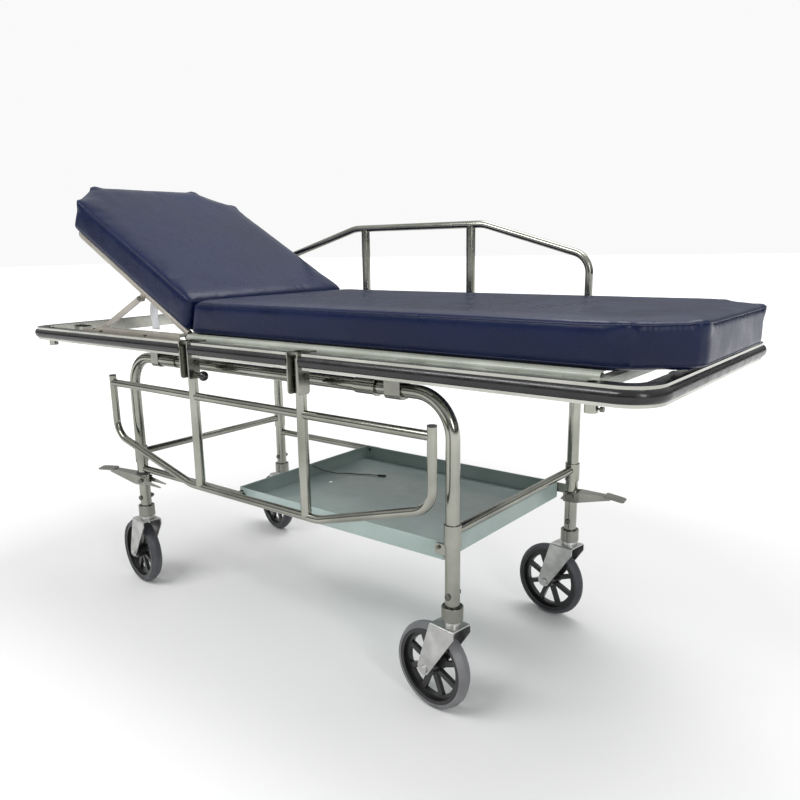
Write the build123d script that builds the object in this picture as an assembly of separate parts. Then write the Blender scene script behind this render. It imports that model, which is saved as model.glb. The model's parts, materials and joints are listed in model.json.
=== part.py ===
"""Stretcher trolley: tilting backrest, fold-down side rails, swivelling braked casters.

Millimetres. X runs along the trolley towards the foot end, Y towards the far side, Z up.
The floor is Z = 0. Everything is drawn about the middle of the undercarriage and moved
by CENTRE_SHIFT when it is written, so that the origin is under the middle of the whole.
"""
import os
from math import cos, radians, sin, tan

from build123d import *

# ---------------------------------------------------------------- driving sizes
CENTRE_SHIFT = -9.5          # the mattress reaches further than the bumper at the foot
SIDES = (-1, 1)              # near side, far side
ENDS = (-1, 1)               # head end, foot end
FIT = 0.05                   # radial clearance between pieces that fit together

# undercarriage
LEG_X = 552.0
LEG_Y = 280.0
FRAME_TOP = 710.0            # centre line of the top of the inverted U
FRAME_R = 15.0
FRAME_BEND = 88.0
LEG_JOIN = 420.0             # where the U tube meets the lower leg, inside the sleeve
LOWER_LEG_R = 16.0
LOWER_LEG_FOOT = 236.0
SLEEVE_R = 18.5
SLEEVE_Z = (396.0, 442.0)
CROSS_Z = 425.0
LONG_Z = 374.0
RAIL_R = 10.0
LEG_BOLT_Z = 285.0
SOCKET_R = 23.5
SOCKET_Z = (228.0, 260.0)

# tray
TRAY_X = (-137.0, 521.0)
TRAY_HALF = 264.0
TRAY_Z = (349.0, 389.0)
TRAY_SHEET = 1.2
LUG_SHEET = 5.0
HEM_DEPTH = 6.0
TRAY_SCREW_Z = 378.0
TRAY_SCREWS_X = (-125.0, 509.0)
TRAY_TUBE_END = -104.0       # the long tubes overlap the head corners of the tray
CORD_R = 1.5

# bumper ring: a lipped channel that opens outwards
BUMPER_X = 943.0             # inner face of the web at the ends
BUMPER_Y = 330.0             # inner face of the web at the sides
BUMPER_DEPTH = 32.0
BUMPER_Z = (744.0, 780.0)
BUMPER_SHEET = 2.0
BUMPER_LIP = 6.0
BUMPER_BEND = 33.0
STRIP_BULGE = 8.0

# side rails
POST_X = 192.0
PIVOT_Y = 344.0
PIVOT_Z = 728.0
PIN_R = 4.0
CHEEK_IN = 14.0              # inner face of a bracket cheek, from the post centre
CHEEK_OUT = 18.0
POST_R = 12.5
POST_TAIL = 43.0
RAIL_TOP = 328.0             # pivot to top bar
RAIL_SHOULDER = 238.0        # pivot to the corner where the end tube bends
RAIL_MID = 87.0
RAIL_OPEN = 68.0             # pivot to the open lower end of the end tube
RAIL_ENDS = (-560.0, 546.0)
RAIL_FLAT_X = 232.0          # the top bar starts to slope down here
LATCH_DROP = 32.0            # pivot to latch pin
LATCH_PIN_R = 3.0

# platform
SIDE_TUBE_Y = 300.0
SIDE_TUBE_Z = 780.0
SIDE_TUBE_R = 9.5
SIDE_TUBE_X = (-255.0, 865.0)
DECK_Z = (787.5, 789.5)
IV_X = 868.0
IV_Y = 345.0
IV_R = 12.0
IV_BORE = 9.0
IV_Z = (728.0, 780.0)

# mattress and backrest
HINGE_X = -268.0
HINGE_Z = 780.5
HINGE_PIN_R = 5.0
REST_TILT = 28.9
FOLD_ANGLE = 36.0            # slope of both cushion ends, half of the steepest tilt
MATTRESS_HALF = 296.0
MATTRESS_Z = (790.0, 868.0)
MATTRESS_FOOT = 1002.0
MATTRESS_CORNER = (109.0, 105.0)
BACK_TUBE_R = 9.0
BACK_TUBE_Y = 278.0
BACK_TUBE_S = 661.0          # hinge to the head tube
BACK_TUBE_CORNER = 96.0
BACK_PAD_S = 692.0
BACK_PAD_N = (9.5, 90.5)
BACK_PAD_CORNER = (106.0, 110.0)

# backrest props and their tracks
PROP_ARM = 224.0
PROP_ANGLE = 25.0            # hinge to upper prop pivot, above level, at rest
PROP_Y = (288.0, 294.0)
ROLLER_R = 7.0
ROLLER_Y = (306.0, 321.0)
TRACK_Y = (300.0, 324.0)
TRACK_Z = (773.2, 787.8)
TRACK_SHEET = 2.0
TRACK_X = (-728.0, -262.0)
TRACK_COVER_X = -660.0       # the upper flange stops here

# casters
WHEEL_R = 100.0
TRAIL = 55.0
STEM_R = 6.0
CASTERS = {
    "head_near": (-1, -1, 172.0),
    "head_far": (-1, 1, 165.0),
    "foot_near": (1, -1, 172.5),
    "foot_far": (1, 1, 172.0),
}
FORK_TOP = 217.0
FORK_SHEET = 3.0
FORK_HALF = 30.0
AXLE_R = 5.0
HUB_SPOKES = 8
HUB_R = 87.0                 # rim of the hub, under the tyre

# brake pedals: leg, direction seen from above, pivot height, length of the tail
PEDALS = {"head": (-1, -1, 209.0, 340.0, 62.0), "foot": (1, 1, 8.0, 354.0, 22.0)}
PEDAL_RISE = {"head": 11.0, "foot": 0.0}
PEDAL_SHEET = 2.0

nodes = {}


# ---------------------------------------------------------------- helpers
def block(x, y, z):
    """Box between (low, high) pairs along X, Y and Z."""
    pairs = [sorted(pair) for pair in (x, y, z)]
    size = [high - low for low, high in pairs]
    centre = [(high + low) / 2 for low, high in pairs]
    return Pos(*centre) * Box(*size)


def rod(start, end, radius, bore=0.0):
    """Round bar, or a tube when a bore is given."""
    axis = Vector(*end) - Vector(*start)
    profile = Circle(radius)
    if bore:
        profile = profile - Circle(bore)
    return extrude(Plane(origin=start, z_dir=axis) * profile, axis.length)


def bent_tube(points, bends, radius, wall):
    """Tube along straight runs joined by tangent bends."""
    path = FilletPolyline(*points, radius=bends)
    plane = Plane(origin=path @ 0, z_dir=path % 0)
    return sweep(plane * (Circle(radius) - Circle(radius - wall)), path=path)


def prism(points, plane, depth):
    """Polygon on a plane, extruded by depth along the plane's normal."""
    return extrude(plane * make_face(Polyline(*points, close=True)), depth)


def across(y):
    """Vertical plane at a given Y: its first axis is X, its second is Z, its normal is -Y."""
    return Plane(origin=(0, y, 0), x_dir=(1, 0, 0), z_dir=(0, -1, 0))


def add(name, *shapes):
    """Keep the solids of a sub-part under its node name."""
    solids = []
    for shape in shapes:
        solids.extend(shape.solids())
    nodes[name] = solids


def four_legs():
    """Leg positions: (end sign, side sign)."""
    return [(end, side) for end in ENDS for side in SIDES]


# ---------------------------------------------------------------- undercarriage
def side_frame(side):
    """Inverted U of bent tube on one side."""
    y = side * LEG_Y
    points = [(-LEG_X, y, LEG_JOIN), (-LEG_X, y, FRAME_TOP), (LEG_X, y, FRAME_TOP), (LEG_X, y, LEG_JOIN)]
    return bent_tube(points, FRAME_BEND, FRAME_R, 2.0)


def leg_rod(end, side, low, high, radius, bore=0.0):
    x, y = end * LEG_X, side * LEG_Y
    return rod((x, y, low), (x, y, high), radius, bore)


def leg_sleeve(end, side):
    sleeve = leg_rod(end, side, *SLEEVE_Z, SLEEVE_R)
    sleeve -= leg_rod(end, side, SLEEVE_Z[0], LEG_JOIN, LOWER_LEG_R + FIT)
    return sleeve - leg_rod(end, side, LEG_JOIN - 1, SLEEVE_Z[1], FRAME_R + FIT)


def leg_bolt_hole(end, side):
    x, y = end * LEG_X, side * LEG_Y
    return rod((x, y - 40, LEG_BOLT_Z), (x, y + 40, LEG_BOLT_Z), 4.0 + FIT)


def lower_leg(end, side):
    leg = leg_rod(end, side, LOWER_LEG_FOOT, LEG_JOIN - 0.5, LOWER_LEG_R, LOWER_LEG_R - 2)
    return leg - leg_bolt_hole(end, side)


def leg_bolt(end, side):
    """M8 bolt with a domed head on the near side and a nut on the other."""
    x, y = end * LEG_X, side * LEG_Y
    head_y = y - LOWER_LEG_R - FIT
    shank = rod((x, head_y, LEG_BOLT_Z), (x, y + LOWER_LEG_R + 11, LEG_BOLT_Z), 4.0)
    head = rod((x, head_y - 5, LEG_BOLT_Z), (x, head_y, LEG_BOLT_Z), 7.0)
    head = fillet(head.edges().filter_by(GeomType.CIRCLE).sort_by(Axis.Y)[0], 3.0)
    nut_plane = Plane(origin=(x, y + LOWER_LEG_R + FIT, LEG_BOLT_Z), z_dir=(0, 1, 0))
    nut = extrude(nut_plane * RegularPolygon(7.5, 6), 6.5)
    return head + shank + nut


def caster_socket(end, side):
    """Turned cup that closes the foot of the leg and carries the caster stem."""
    socket = leg_rod(end, side, *SOCKET_Z, SOCKET_R)
    socket = fillet(socket.edges().filter_by(GeomType.CIRCLE), 1.5)
    socket -= leg_rod(end, side, LOWER_LEG_FOOT - FIT, SOCKET_Z[1], LOWER_LEG_R + FIT)
    socket -= leg_rod(end, side, SOCKET_Z[0], LOWER_LEG_FOOT, STEM_R + 0.6)
    groove = leg_rod(end, side, SOCKET_Z[1] - 2.5, SOCKET_Z[1], SOCKET_R - 3, LOWER_LEG_R + 1.5)
    return socket - groove


def stem_bush(end, side):
    bore = STEM_R + FIT
    return leg_rod(end, side, LOWER_LEG_FOOT + FIT, 275.0, LOWER_LEG_R - 2 - FIT, bore)


def cross_tube(end):
    x = end * LEG_X
    tube = rod((x, -LEG_Y, CROSS_Z), (x, LEG_Y, CROSS_Z), RAIL_R, RAIL_R - 1.5)
    for side in SIDES:
        tube -= leg_rod(end, side, *SLEEVE_Z, SLEEVE_R + FIT)
    return tube.solids().sort_by(SortBy.VOLUME)[-1]


def tray_screw_shaft(x, side, radius):
    z = TRAY_SCREW_Z
    return rod((x, side * (TRAY_HALF - 1.4), z), (x, side * (LEG_Y - 7), z), radius)


def long_tube(side):
    """Tube from the head leg to the tray's head corner."""
    y = side * LEG_Y
    tube = rod((-LEG_X, y, LONG_Z), (TRAY_TUBE_END, y, LONG_Z), RAIL_R, RAIL_R - 1.5)
    tube -= leg_rod(-1, side, 300, 395, LOWER_LEG_R + FIT)
    tube -= tray_screw_shaft(TRAY_SCREWS_X[0], side, 2.0 + FIT)
    return tube.solids().sort_by(SortBy.VOLUME)[-1]


def tray_lug(side):
    """Flat lug on the foot leg that carries the tray's foot corner."""
    y_low, y_high = sorted((side * (TRAY_HALF + FIT), side * (TRAY_HALF + LUG_SHEET)))
    lug = block((499, 546), (y_low, y_high), (362, 386))
    lug = fillet(lug.edges().filter_by(Axis.Y).group_by(Axis.X)[0], 6.0)
    lug -= leg_rod(1, side, 300, 395, LOWER_LEG_R + FIT)
    return lug - tray_screw_shaft(TRAY_SCREWS_X[1], side, 2.0 + FIT)


def build_undercarriage():
    add("near_side_frame", side_frame(-1))
    add("far_side_frame", side_frame(1))
    add("leg_sleeves", *[leg_sleeve(*leg) for leg in four_legs()])
    add("lower_legs", *[lower_leg(*leg) for leg in four_legs()])
    add("leg_bolts", *[leg_bolt(*leg) for leg in four_legs()])
    add("caster_sockets", *[caster_socket(*leg) for leg in four_legs()])
    add("stem_bushes", *[stem_bush(*leg) for leg in four_legs()])
    add("lower_tubes", *[cross_tube(end) for end in ENDS], *[long_tube(side) for side in SIDES],
        *[tray_lug(side) for side in SIDES])


# ---------------------------------------------------------------- tray
def build_tray():
    """Open tray of thin sheet with a folded safe edge all round the rim."""
    outer = block(TRAY_X, (-TRAY_HALF, TRAY_HALF), TRAY_Z)
    outer = fillet(outer.edges().filter_by(Axis.Z), 6.0)
    inside_x = (TRAY_X[0] + TRAY_SHEET, TRAY_X[1] - TRAY_SHEET)
    inside_y = TRAY_HALF - TRAY_SHEET
    inner = block(inside_x, (-inside_y, inside_y), (TRAY_Z[0] + TRAY_SHEET, TRAY_Z[1]))
    inner = fillet(inner.edges().filter_by(Axis.Z), 4.8)
    tray = outer - inner
    hem_x = (TRAY_X[0] + 3, TRAY_X[1] - 3)
    hem = block(inside_x, (-inside_y, inside_y), (TRAY_Z[1] - HEM_DEPTH, TRAY_Z[1]))
    hem = fillet(hem.edges().filter_by(Axis.Z), 4.7)
    hem -= block(hem_x, (3 - TRAY_HALF, TRAY_HALF - 3), (TRAY_Z[1] - HEM_DEPTH - 1, TRAY_Z[1] + 1))
    tray += hem
    tray -= rod((-55, 3, TRAY_Z[0] - 1), (-55, 3, TRAY_Z[0] + 3), 5.0)
    z = TRAY_SCREW_Z
    screws = []
    for x in TRAY_SCREWS_X:
        for side in SIDES:
            tray -= tray_screw_shaft(x, side, 2.0 + FIT)
            head_y = TRAY_HALF - TRAY_SHEET - FIT
            head = rod((x, side * (head_y - 2.2), z), (x, side * head_y, z), 4.0)
            screws.append(head + tray_screw_shaft(x, side, 2.0))
            if x > 0:
                nut_y = side * (TRAY_HALF + LUG_SHEET + FIT)
                nut_plane = Plane(origin=(x, nut_y, z), z_dir=(0, side, 0))
                nut = extrude(nut_plane * RegularPolygon(4.6, 6), 3.6)
                screws.append(nut - tray_screw_shaft(x, side, 2.0 + FIT))
                continue
            spacer = rod((x, side * (TRAY_HALF + FIT), z), (x, side * LEG_Y, z), 5.0, 2.0 + FIT)
            tube = rod((x - 20, side * LEG_Y, LONG_Z), (x + 20, side * LEG_Y, LONG_Z), RAIL_R + FIT)
            screws.append((spacer - tube).solids().sort_by(Axis.Y)[0 if side > 0 else -1])
    add("tray", tray)
    add("tray_screws", *screws)


# ---------------------------------------------------------------- tray lanyard
LANYARD_ROUTE = [
    (-131.0, 8.0, 384.0),
    (-127.5, 19.0, 377.0),
    (-126.5, 34.0, 368.5),
    (-126.0, 49.0, 360.0),
    (-122.0, 63.0, 354.0),
    (-110.0, 70.0, 352.3),
    (-93.0, 71.0, 352.2),
    (-77.0, 82.0, 352.2),
    (-59.0, 93.0, 352.2),
    (-39.0, 97.0, 352.2),
    (-23.0, 108.0, 352.2),
    (-6.0, 116.0, 352.8),
    (10.0, 117.0, 353.3),
    (22.0, 122.0, 353.3),
]


def lanyard_radii():
    """Largest tangent arc at each corner of the route: 0.45 of its shorter run."""
    points = [Vector(*point) for point in LANYARD_ROUTE]
    radii = []
    for before, corner, after in zip(points, points[1:], points[2:]):
        run_in, run_out = corner - before, after - corner
        turn = radians(run_in.get_angle(run_out))
        radii.append(0.45 * min(run_in.length, run_out.length) / tan(turn / 2))
    return radii


def build_lanyard():
    """Thin lanyard from the head rim of the tray to a loose toggle on its floor."""
    radii = lanyard_radii()
    path = FilletPolyline(*LANYARD_ROUTE, radius=radii)
    cord = sweep(Plane(origin=path @ 0, z_dir=path % 0) * Circle(CORD_R), path=path)
    print("lanyard length", round(path.length, 1), "radii", [round(radius, 1) for radius in radii])
    print("lanyard volume ratio", round(cord.volume / (path.length * 3.14159 * CORD_R**2), 4))
    add("tray_lanyard", cord)
    start, end = Vector(*LANYARD_ROUTE[0]), Vector(*LANYARD_ROUTE[-1])
    way = (end - Vector(*LANYARD_ROUTE[-2])).normalized()
    tip = end + way * 24
    add("lanyard_toggle", rod(tuple(end), tuple(tip), 2.8))
    lug_x = (TRAY_X[0] + 3.1, start.X)
    lug = block(lug_x, (start.Y - 5, start.Y + 5), (start.Z - 5, start.Z + 5))
    clear = Plane(origin=tuple(start), z_dir=path % 0)
    lug -= extrude(clear * Rectangle(40, 40), 20)
    nodes["tray"] = nodes["tray"] + lug.solids()


# ---------------------------------------------------------------- clamps on the side frames
CLAMPS = {1: (390.0, 432.0), -1: (-436.0, -404.0)}
CLAMP_SLEEVES = {1: (303.0, 360.0), -1: (-402.0, -334.0)}
CLAMP_Z = (690.0, 764.0)


def frame_bore(side, x_range):
    y = side * LEG_Y
    return rod((x_range[0] - 1, y, FRAME_TOP), (x_range[1] + 1, y, FRAME_TOP), FRAME_R + FIT)


def clamp_block(end, side):
    """Saddle that grips the side frame and carries a platform cross member."""
    x_range = CLAMPS[end]
    y = side * LEG_Y
    saddle = block(x_range, (y - 18, y + 18), CLAMP_Z)
    low_edges = saddle.edges().filter_by(Axis.X).sort_by(Axis.Z)[:2]
    saddle = fillet(low_edges, 12.0)
    return saddle - frame_bore(side, x_range)


def clamp_bolts(end, side):
    """Two screws in the outer face of a clamp block."""
    middle = sum(CLAMPS[end]) / 2
    face = side * (LEG_Y + 18 + FIT)
    screws = []
    for offset in (-8, 8):
        x = middle + offset
        head = rod((x, face, 741), (x, face + side * 3, 741), 4.5)
        rims = head.edges().filter_by(GeomType.CIRCLE).sort_by(Axis.Y)
        screws.append(fillet(rims[-1 if side > 0 else 0], 1.5))
    return screws


def clamp_sleeve(end, side):
    """Collar beside a clamp block, with a raised ring at the foot end."""
    x_range = CLAMP_SLEEVES[end]
    y = side * LEG_Y
    collar = rod((x_range[0], y, FRAME_TOP), (x_range[1], y, FRAME_TOP), 18.0)
    if end > 0:
        collar += rod((x_range[1] - 2, y, FRAME_TOP), (x_range[1] + 2, y, FRAME_TOP), 20.0)
    return collar - frame_bore(side, (x_range[0], x_range[1] + 3))


def build_clamps():
    add("clamp_blocks", *[clamp_block(*place) for place in four_legs()])
    add("clamp_sleeves", *[clamp_sleeve(*place) for place in four_legs()])
    screws = []
    for place in four_legs():
        screws.extend(clamp_bolts(*place))
    for corner in four_legs():
        screws.append(iv_screw(*corner))
    add("frame_screws", *screws)


# ---------------------------------------------------------------- bumper ring
def channel_section():
    """Lipped channel: first coordinate is outward from the web, second is height."""
    low, high = BUMPER_Z
    sheet = BUMPER_SHEET
    depth = BUMPER_DEPTH
    points = [
        (0, low), (depth, low), (depth, low + BUMPER_LIP), (depth - sheet, low + BUMPER_LIP),
        (depth - sheet, low + sheet), (sheet, low + sheet), (sheet, high - sheet),
        (depth - sheet, high - sheet), (depth - sheet, high - BUMPER_LIP),
        (depth, high - BUMPER_LIP), (depth, high), (0, high),
    ]
    return make_face(Polyline(*points, close=True))


def strip_section():
    """Rubber strip: a flat back held behind the lips and a rounded face outside them."""
    low, high = BUMPER_Z
    back = BUMPER_DEPTH - 4.4
    lip_back = BUMPER_DEPTH - BUMPER_SHEET - 0.1
    face = BUMPER_DEPTH + 2.0
    mouth_low, mouth_high = low + BUMPER_LIP + 0.2, high - BUMPER_LIP - 0.2
    rim_low, rim_high = low + 3.2, high - 3.2
    middle = (low + high) / 2
    outline = Polyline(
        (face, mouth_high), (lip_back, mouth_high), (lip_back, rim_high), (back, rim_high),
        (back, rim_low), (lip_back, rim_low), (lip_back, mouth_low), (face, mouth_low),
    )
    bulge = ThreePointArc((face, mouth_low), (BUMPER_DEPTH + STRIP_BULGE, middle), (face, mouth_high))
    return make_face(outline + bulge)


def bumper_path(end):
    """Half ring from the near bracket round one end of the trolley to the far bracket."""
    start = end * (POST_X + CHEEK_OUT + 0.1)
    points = [
        (start, -BUMPER_Y, 0), (end * BUMPER_X, -BUMPER_Y, 0),
        (end * BUMPER_X, BUMPER_Y, 0), (start, BUMPER_Y, 0),
    ]
    return FilletPolyline(*points, radius=BUMPER_BEND)


def end_bumper(end, section):
    path = bumper_path(end)
    outward = Vector(0, -1, 0)
    plane = Plane(origin=path @ 0, x_dir=outward, z_dir=(-end, 0, 0))
    if plane.y_dir.Z < 0:
        plane = Plane(origin=path @ 0, x_dir=outward, z_dir=(end, 0, 0))
    return sweep(plane * section, path=path)


def side_bumper(side, section, shorter=0.0):
    """Straight length between the two brackets on one side."""
    half = POST_X - CHEEK_OUT - 0.1 - shorter
    plane = Plane(origin=(side * half, side * BUMPER_Y, 0), x_dir=(0, side, 0), z_dir=(-side, 0, 0))
    if plane.y_dir.Z < 0:
        plane = Plane(origin=(-side * half, side * BUMPER_Y, 0), x_dir=(0, side, 0), z_dir=(side, 0, 0))
    return extrude(plane * section, 2 * half)


def iv_bore(end, side, radius):
    x, y = end * IV_X, side * IV_Y
    return rod((x, y, IV_Z[0] - 5), (x, y, IV_Z[1] + 5), radius)


def iv_socket(end, side):
    """Upright tube through the bumper channel that takes a drip pole."""
    x, y = end * IV_X, side * IV_Y
    socket = rod((x, y, IV_Z[0]), (x, y, IV_Z[1]), IV_R, IV_BORE)
    return socket - rod((x, y, 735), (x + 20, y, 735), 2.0 + FIT)


def iv_screw(end, side):
    """Thumb screw that locks the drip pole in its socket."""
    x, y = end * IV_X, side * IV_Y
    shank = rod((x + IV_BORE + 0.5, y, 735), (x + 17, y, 735), 2.0)
    return shank + rod((x + 16, y, 735), (x + 22, y, 735), 4.5)


def build_bumper():
    channel = channel_section()
    for end, name in ((-1, "head_bumper"), (1, "foot_bumper")):
        ring = end_bumper(end, channel)
        for side in SIDES:
            ring -= iv_bore(end, side, IV_R + FIT)
        add(name, ring)
    for side, name in ((-1, "near_bumper"), (1, "far_bumper")):
        add(name, side_bumper(side, channel))
    strip = strip_section()
    strips = [end_bumper(end, strip) for end in ENDS]
    strips += [side_bumper(side, strip) for side in SIDES]
    add("bumper_strips", *strips)
    add("iv_sockets", *[iv_socket(*corner) for corner in four_legs()])


# ---------------------------------------------------------------- side rail brackets
def pivot_rod(x_low, x_high, side, z, radius):
    y = side * PIVOT_Y
    return rod((x_low, y, z), (x_high, y, z), radius)


def rail_bracket(end, side):
    """Two cheeks joined by a bridge plate that is welded to the platform side tube."""
    x = end * POST_X
    inner, outer = CHEEK_IN, CHEEK_OUT
    tab = SIDE_TUBE_Y + SIDE_TUBE_R + 0.1
    bracket = block((x - outer, x + outer), (side * tab, side * 329), (776, 782))
    for cheek in ENDS:
        faces = (x + cheek * inner, x + cheek * outer)
        plate = block(faces, (side * 334, side * 368), (688, 782))
        plate = fillet(plate.edges().filter_by(Axis.X).group_by(Axis.Z)[0], 8.0)
        bracket += plate
        bracket += block(faces, (side * tab, side * 335), (776, 782))
    bracket -= pivot_rod(x - 30, x + 30, side, PIVOT_Z, PIN_R + FIT)
    if end < 0:
        bracket -= pivot_rod(x, x + 30, side, PIVOT_Z - LATCH_DROP, LATCH_PIN_R + FIT)
    return bracket


def pivot_pin(end, side):
    """Headed pivot pin with a washer-faced nut."""
    x = end * POST_X
    pin = pivot_rod(x - CHEEK_OUT - 7, x + CHEEK_OUT, side, PIVOT_Z, PIN_R)
    head = pivot_rod(x + CHEEK_OUT + FIT, x + CHEEK_OUT + 4, side, PIVOT_Z, 7.0)
    plane = Plane(origin=(x - CHEEK_OUT - FIT, side * PIVOT_Y, PIVOT_Z), z_dir=(-1, 0, 0))
    nut = extrude(plane * RegularPolygon(7.0, 6), 5.0)
    return pin + head + nut


def latch_housing(side):
    x = -POST_X + CHEEK_OUT + FIT
    z = PIVOT_Z - LATCH_DROP
    housing = pivot_rod(x, x + 12, side, z, 6.0)
    housing += pivot_rod(x, x + 3, side, z, 7.5)
    return housing - pivot_rod(x - 1, x + 13, side, z, LATCH_PIN_R + FIT)


def latch_pin(side):
    """Pull pin: its inner end is flush with the bracket cheek."""
    x = -POST_X
    return pivot_rod(x + CHEEK_IN, x + 38, side, PIVOT_Z - LATCH_DROP, LATCH_PIN_R)


def latch_knob(side):
    x = -POST_X + 43
    ball = Pos(x, side * PIVOT_Y, PIVOT_Z - LATCH_DROP) * Sphere(12.5)
    neck = pivot_rod(x - 12.5, x - 6, side, PIVOT_Z - LATCH_DROP, 5.5)
    socket = pivot_rod(x - 14, x - 5 + FIT, side, PIVOT_Z - LATCH_DROP, LATCH_PIN_R + FIT)
    return ball + neck - socket


def build_brackets():
    places = four_legs()
    add("rail_brackets", *[rail_bracket(*place) for place in places])
    add("rail_pivot_pins", *[pivot_pin(*place) for place in places])
    add("latch_housings", *[latch_housing(side) for side in SIDES])
    for side, name in ((-1, "near"), (1, "far")):
        add(name + "_latch", latch_pin(side), latch_knob(side))


# ---------------------------------------------------------------- side rails
def build_side_rail(side, name, up):
    """Welded rail: bent outer tube, middle bar in three lengths and two hinge posts."""
    y = side * PIVOT_Y
    head_x, foot_x = RAIL_ENDS

    def at(x, distance):
        return (x, y, PIVOT_Z + up * distance)

    points = [
        at(head_x, RAIL_OPEN), at(head_x, RAIL_SHOULDER), at(-RAIL_FLAT_X, RAIL_TOP),
        at(RAIL_FLAT_X, RAIL_TOP), at(foot_x, RAIL_SHOULDER), at(foot_x, RAIL_OPEN),
    ]
    outer = bent_tube(points, [55, 120, 120, 55], RAIL_R, 1.5)
    pieces = [outer]
    post_centres = (-POST_X, POST_X)
    stops = (head_x, -POST_X, POST_X, foot_x)
    for low, high in zip(stops, stops[1:]):
        bar = rod(at(low, RAIL_MID), at(high, RAIL_MID), RAIL_R, RAIL_R - 1.5)
        for x in (low, high):
            radius = POST_R if x in post_centres else RAIL_R
            bar -= rod(at(x, RAIL_MID - 40), at(x, RAIL_MID + 40), radius + FIT)
        pieces.append(bar.solids().sort_by(SortBy.VOLUME)[-1])
    caps = []
    for x in post_centres:
        post = rod(at(x, 4 - POST_TAIL), at(x, RAIL_TOP - 4), POST_R, POST_R - 2)
        post -= rod(at(x - 30, RAIL_TOP), at(x + 30, RAIL_TOP), RAIL_R + FIT)
        post -= rod(at(x - 30, 0), at(x + 30, 0), PIN_R + FIT)
        for latch in ENDS:
            post -= rod(at(x - 30, latch * LATCH_DROP), at(x + 30, latch * LATCH_DROP), LATCH_PIN_R + 0.1)
        pieces.append(post.solids().sort_by(SortBy.VOLUME)[-1])
        cap = rod(at(x, -POST_TAIL), at(x, 4 - POST_TAIL - FIT), POST_R)
        cap = fillet(cap.edges().filter_by(GeomType.CIRCLE).sort_by(Axis.Z)[0 if up > 0 else -1], 1.5)
        caps.append(cap)
    for x in RAIL_ENDS:
        cap = rod(at(x, RAIL_OPEN - 3), at(x, RAIL_OPEN - FIT), RAIL_R)
        caps.append(cap + rod(at(x, RAIL_OPEN - 2), at(x, RAIL_OPEN + 10), RAIL_R - 1.5 - FIT))
    add(name + "_side_rail", *pieces)
    add(name + "_rail_caps", *caps)


# ---------------------------------------------------------------- platform
def side_tube_rod(side, radius):
    y = side * SIDE_TUBE_Y
    return rod((SIDE_TUBE_X[0], y, SIDE_TUBE_Z), (SIDE_TUBE_X[1], y, SIDE_TUBE_Z), radius)


CROSS_MEMBERS = {
    "clamp": (398.5, 423.5, 764.0, 787.4),
    "middle": (60.0, 85.0, 772.0, 787.4),
    "hinge": (-246.0, -221.0, 768.0, 787.4),
}


def build_platform():
    tubes = []
    for side in SIDES:
        tube = side_tube_rod(side, SIDE_TUBE_R)
        y = side * SIDE_TUBE_Y
        tubes.append(tube - rod((-300, y, SIDE_TUBE_Z), (900, y, SIDE_TUBE_Z), SIDE_TUBE_R - 1.5))

    members = []
    for x_low, x_high, z_low, z_high in CROSS_MEMBERS.values():
        member = block((x_low, x_high), (-SIDE_TUBE_Y, SIDE_TUBE_Y), (z_low, z_high))
        for side in SIDES:
            member -= side_tube_rod(side, SIDE_TUBE_R + FIT)
        members.append(member.solids().sort_by(SortBy.VOLUME)[-1])
    web = BUMPER_Y - FIT
    foot = block((854, 879), (-web, web), (764, 780))
    for side in SIDES:
        y = side * SIDE_TUBE_Y
        foot -= rod((800, y, SIDE_TUBE_Z), (SIDE_TUBE_X[1] + FIT, y, SIDE_TUBE_Z), SIDE_TUBE_R + FIT)
    members.append(foot)
    members.append(block(CLAMPS[-1], (-web, web), (CLAMP_Z[1], TRACK_Z[0] - TRACK_SHEET - 0.1)))
    add("platform_frame", *tubes, *members)

    deck = block((-250, 862), (-290, 290), DECK_Z)
    for side in SIDES:
        deck -= side_tube_rod(side, SIDE_TUBE_R + FIT)
    deck = deck.solids().sort_by(SortBy.VOLUME)[-1]
    add("platform_deck", fillet(deck.edges().filter_by(Axis.Z), 4.0))

    plates = []
    tube_face = SIDE_TUBE_Y + SIDE_TUBE_R
    for side in SIDES:
        for x_low, x_high in ((-60, 60), (349, 437), (509, 644), (712, 800)):
            gusset = block((x_low, x_high), (side * (tube_face - 4), side * web), (775, 778))
            plates.append(gusset - side_tube_rod(side, SIDE_TUBE_R + FIT))
        plates.append(block((915, BUMPER_X - FIT), (side * 95, side * 120), (755, 768)))
        plates.append(block((-BUMPER_X + FIT, -915), (side * 185, side * 215), (755, 768)))
    add("platform_plates", *plates, *hinge_lugs())
    pads = [block((-BUMPER_X + 1, -916), (side * 186, side * 214), (768.05, 771)) for side in SIDES]
    add("backrest_rest_pads", *pads)


def hinge_lugs():
    """Lugs on the platform, one each side of every backrest knuckle."""
    lugs = []
    for side in SIDES:
        for y_low, y_high, x_foot in ((258.5, 264.5, -246.1), (290.6, 296.6, -255.1)):
            lug = rod((HINGE_X, side * y_low, HINGE_Z), (HINGE_X, side * y_high, HINGE_Z), 8.5)
            lug += block((HINGE_X, x_foot), (side * y_low, side * y_high), (HINGE_Z - 8.5, 787))
            lug -= rod((HINGE_X, side * 200, HINGE_Z), (HINGE_X, side * 320, HINGE_Z), HINGE_PIN_R + FIT)
            lugs.append(lug)
    return lugs


def build_hinge_pins():
    pins = []
    for side in SIDES:
        inner, outer = (HINGE_X, side * 256, HINGE_Z), (HINGE_X, side * 299, HINGE_Z)
        pins.append(rod(inner, outer, HINGE_PIN_R))
    add("hinge_pins", *pins)


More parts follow.
